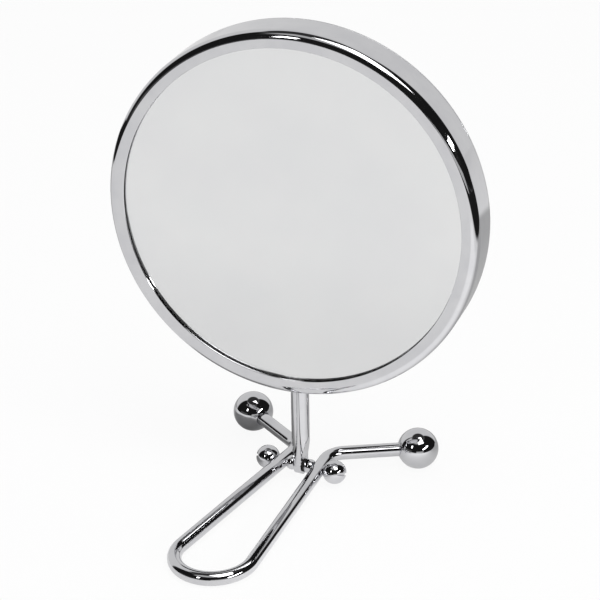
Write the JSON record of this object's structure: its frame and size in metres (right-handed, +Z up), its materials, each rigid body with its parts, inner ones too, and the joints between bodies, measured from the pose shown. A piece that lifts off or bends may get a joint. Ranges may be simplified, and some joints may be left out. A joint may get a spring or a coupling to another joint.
{
  "type": "shaving mirror",
  "caption": "Round double-sided shaving mirror in a deep chrome rim, on a post hinged to a bent wire loop with ball feet that serves as stand, handle and hanger.",
  "frame": {"origin": "on the table, at the bottom centre of the bounding box, as the mirror stands ready for use", "axes": "+Z up along the post, -Y the way the plain glass and the wire loop point, +X to the right of someone looking into the glass"},
  "size_m": [0.1504, 0.1296, 0.1934],
  "materials": {
    "chrome_rim": "polished chrome plate",
    "looking_glass": "silvered float glass",
    "magnifying_glass": "silvered and dished float glass",
    "hardboard": "plain hardboard",
    "foam": "dark foam",
    "spring_steel": "plain spring steel",
    "bush_brass": "turned brass",
    "chrome_post": "polished chrome plate",
    "zinc_steel": "bright zinc plate",
    "chrome_wire": "polished chrome plate",
    "chrome_ball": "polished chrome plate",
    "fibre": "black vulcanised fibre"
  },
  "bodies": {
    "stand": {"wire_frame": "chrome_wire", "left_ball_foot": "chrome_ball", "right_ball_foot": "chrome_ball", "hinge_screw": "zinc_steel", "left_ball_nut": "chrome_ball", "right_ball_nut": "chrome_ball", "left_spacer_bead": "chrome_ball", "right_spacer_bead": "chrome_ball", "left_friction_washer": "fibre", "right_friction_washer": "fibre"},
    "post": {"post": "chrome_post", "post_washer": "zinc_steel", "post_nut": "zinc_steel"},
    "head": {"rim_shell": "chrome_rim", "rear_bezel": "chrome_rim", "front_glass": "looking_glass", "rear_glass": "magnifying_glass", "front_board": "hardboard", "rear_pad": "foam", "spacer_hoop": "spring_steel", "post_bush": "bush_brass"}
  },
  "joints": [
    {"name": "stand_fold", "type": "hinge", "parent": "stand", "child": "post", "pos_m": [0, 0.02597, 0.00696], "axis": [1, 0, 0], "range_deg": [-240, 65]},
    {"name": "head_swivel", "type": "hinge", "parent": "post", "child": "head", "pos_m": [0, 0.02597, 0.04336], "axis": [0, 0, 1], "range_deg": [-27.8, 12.2]}
  ]
}
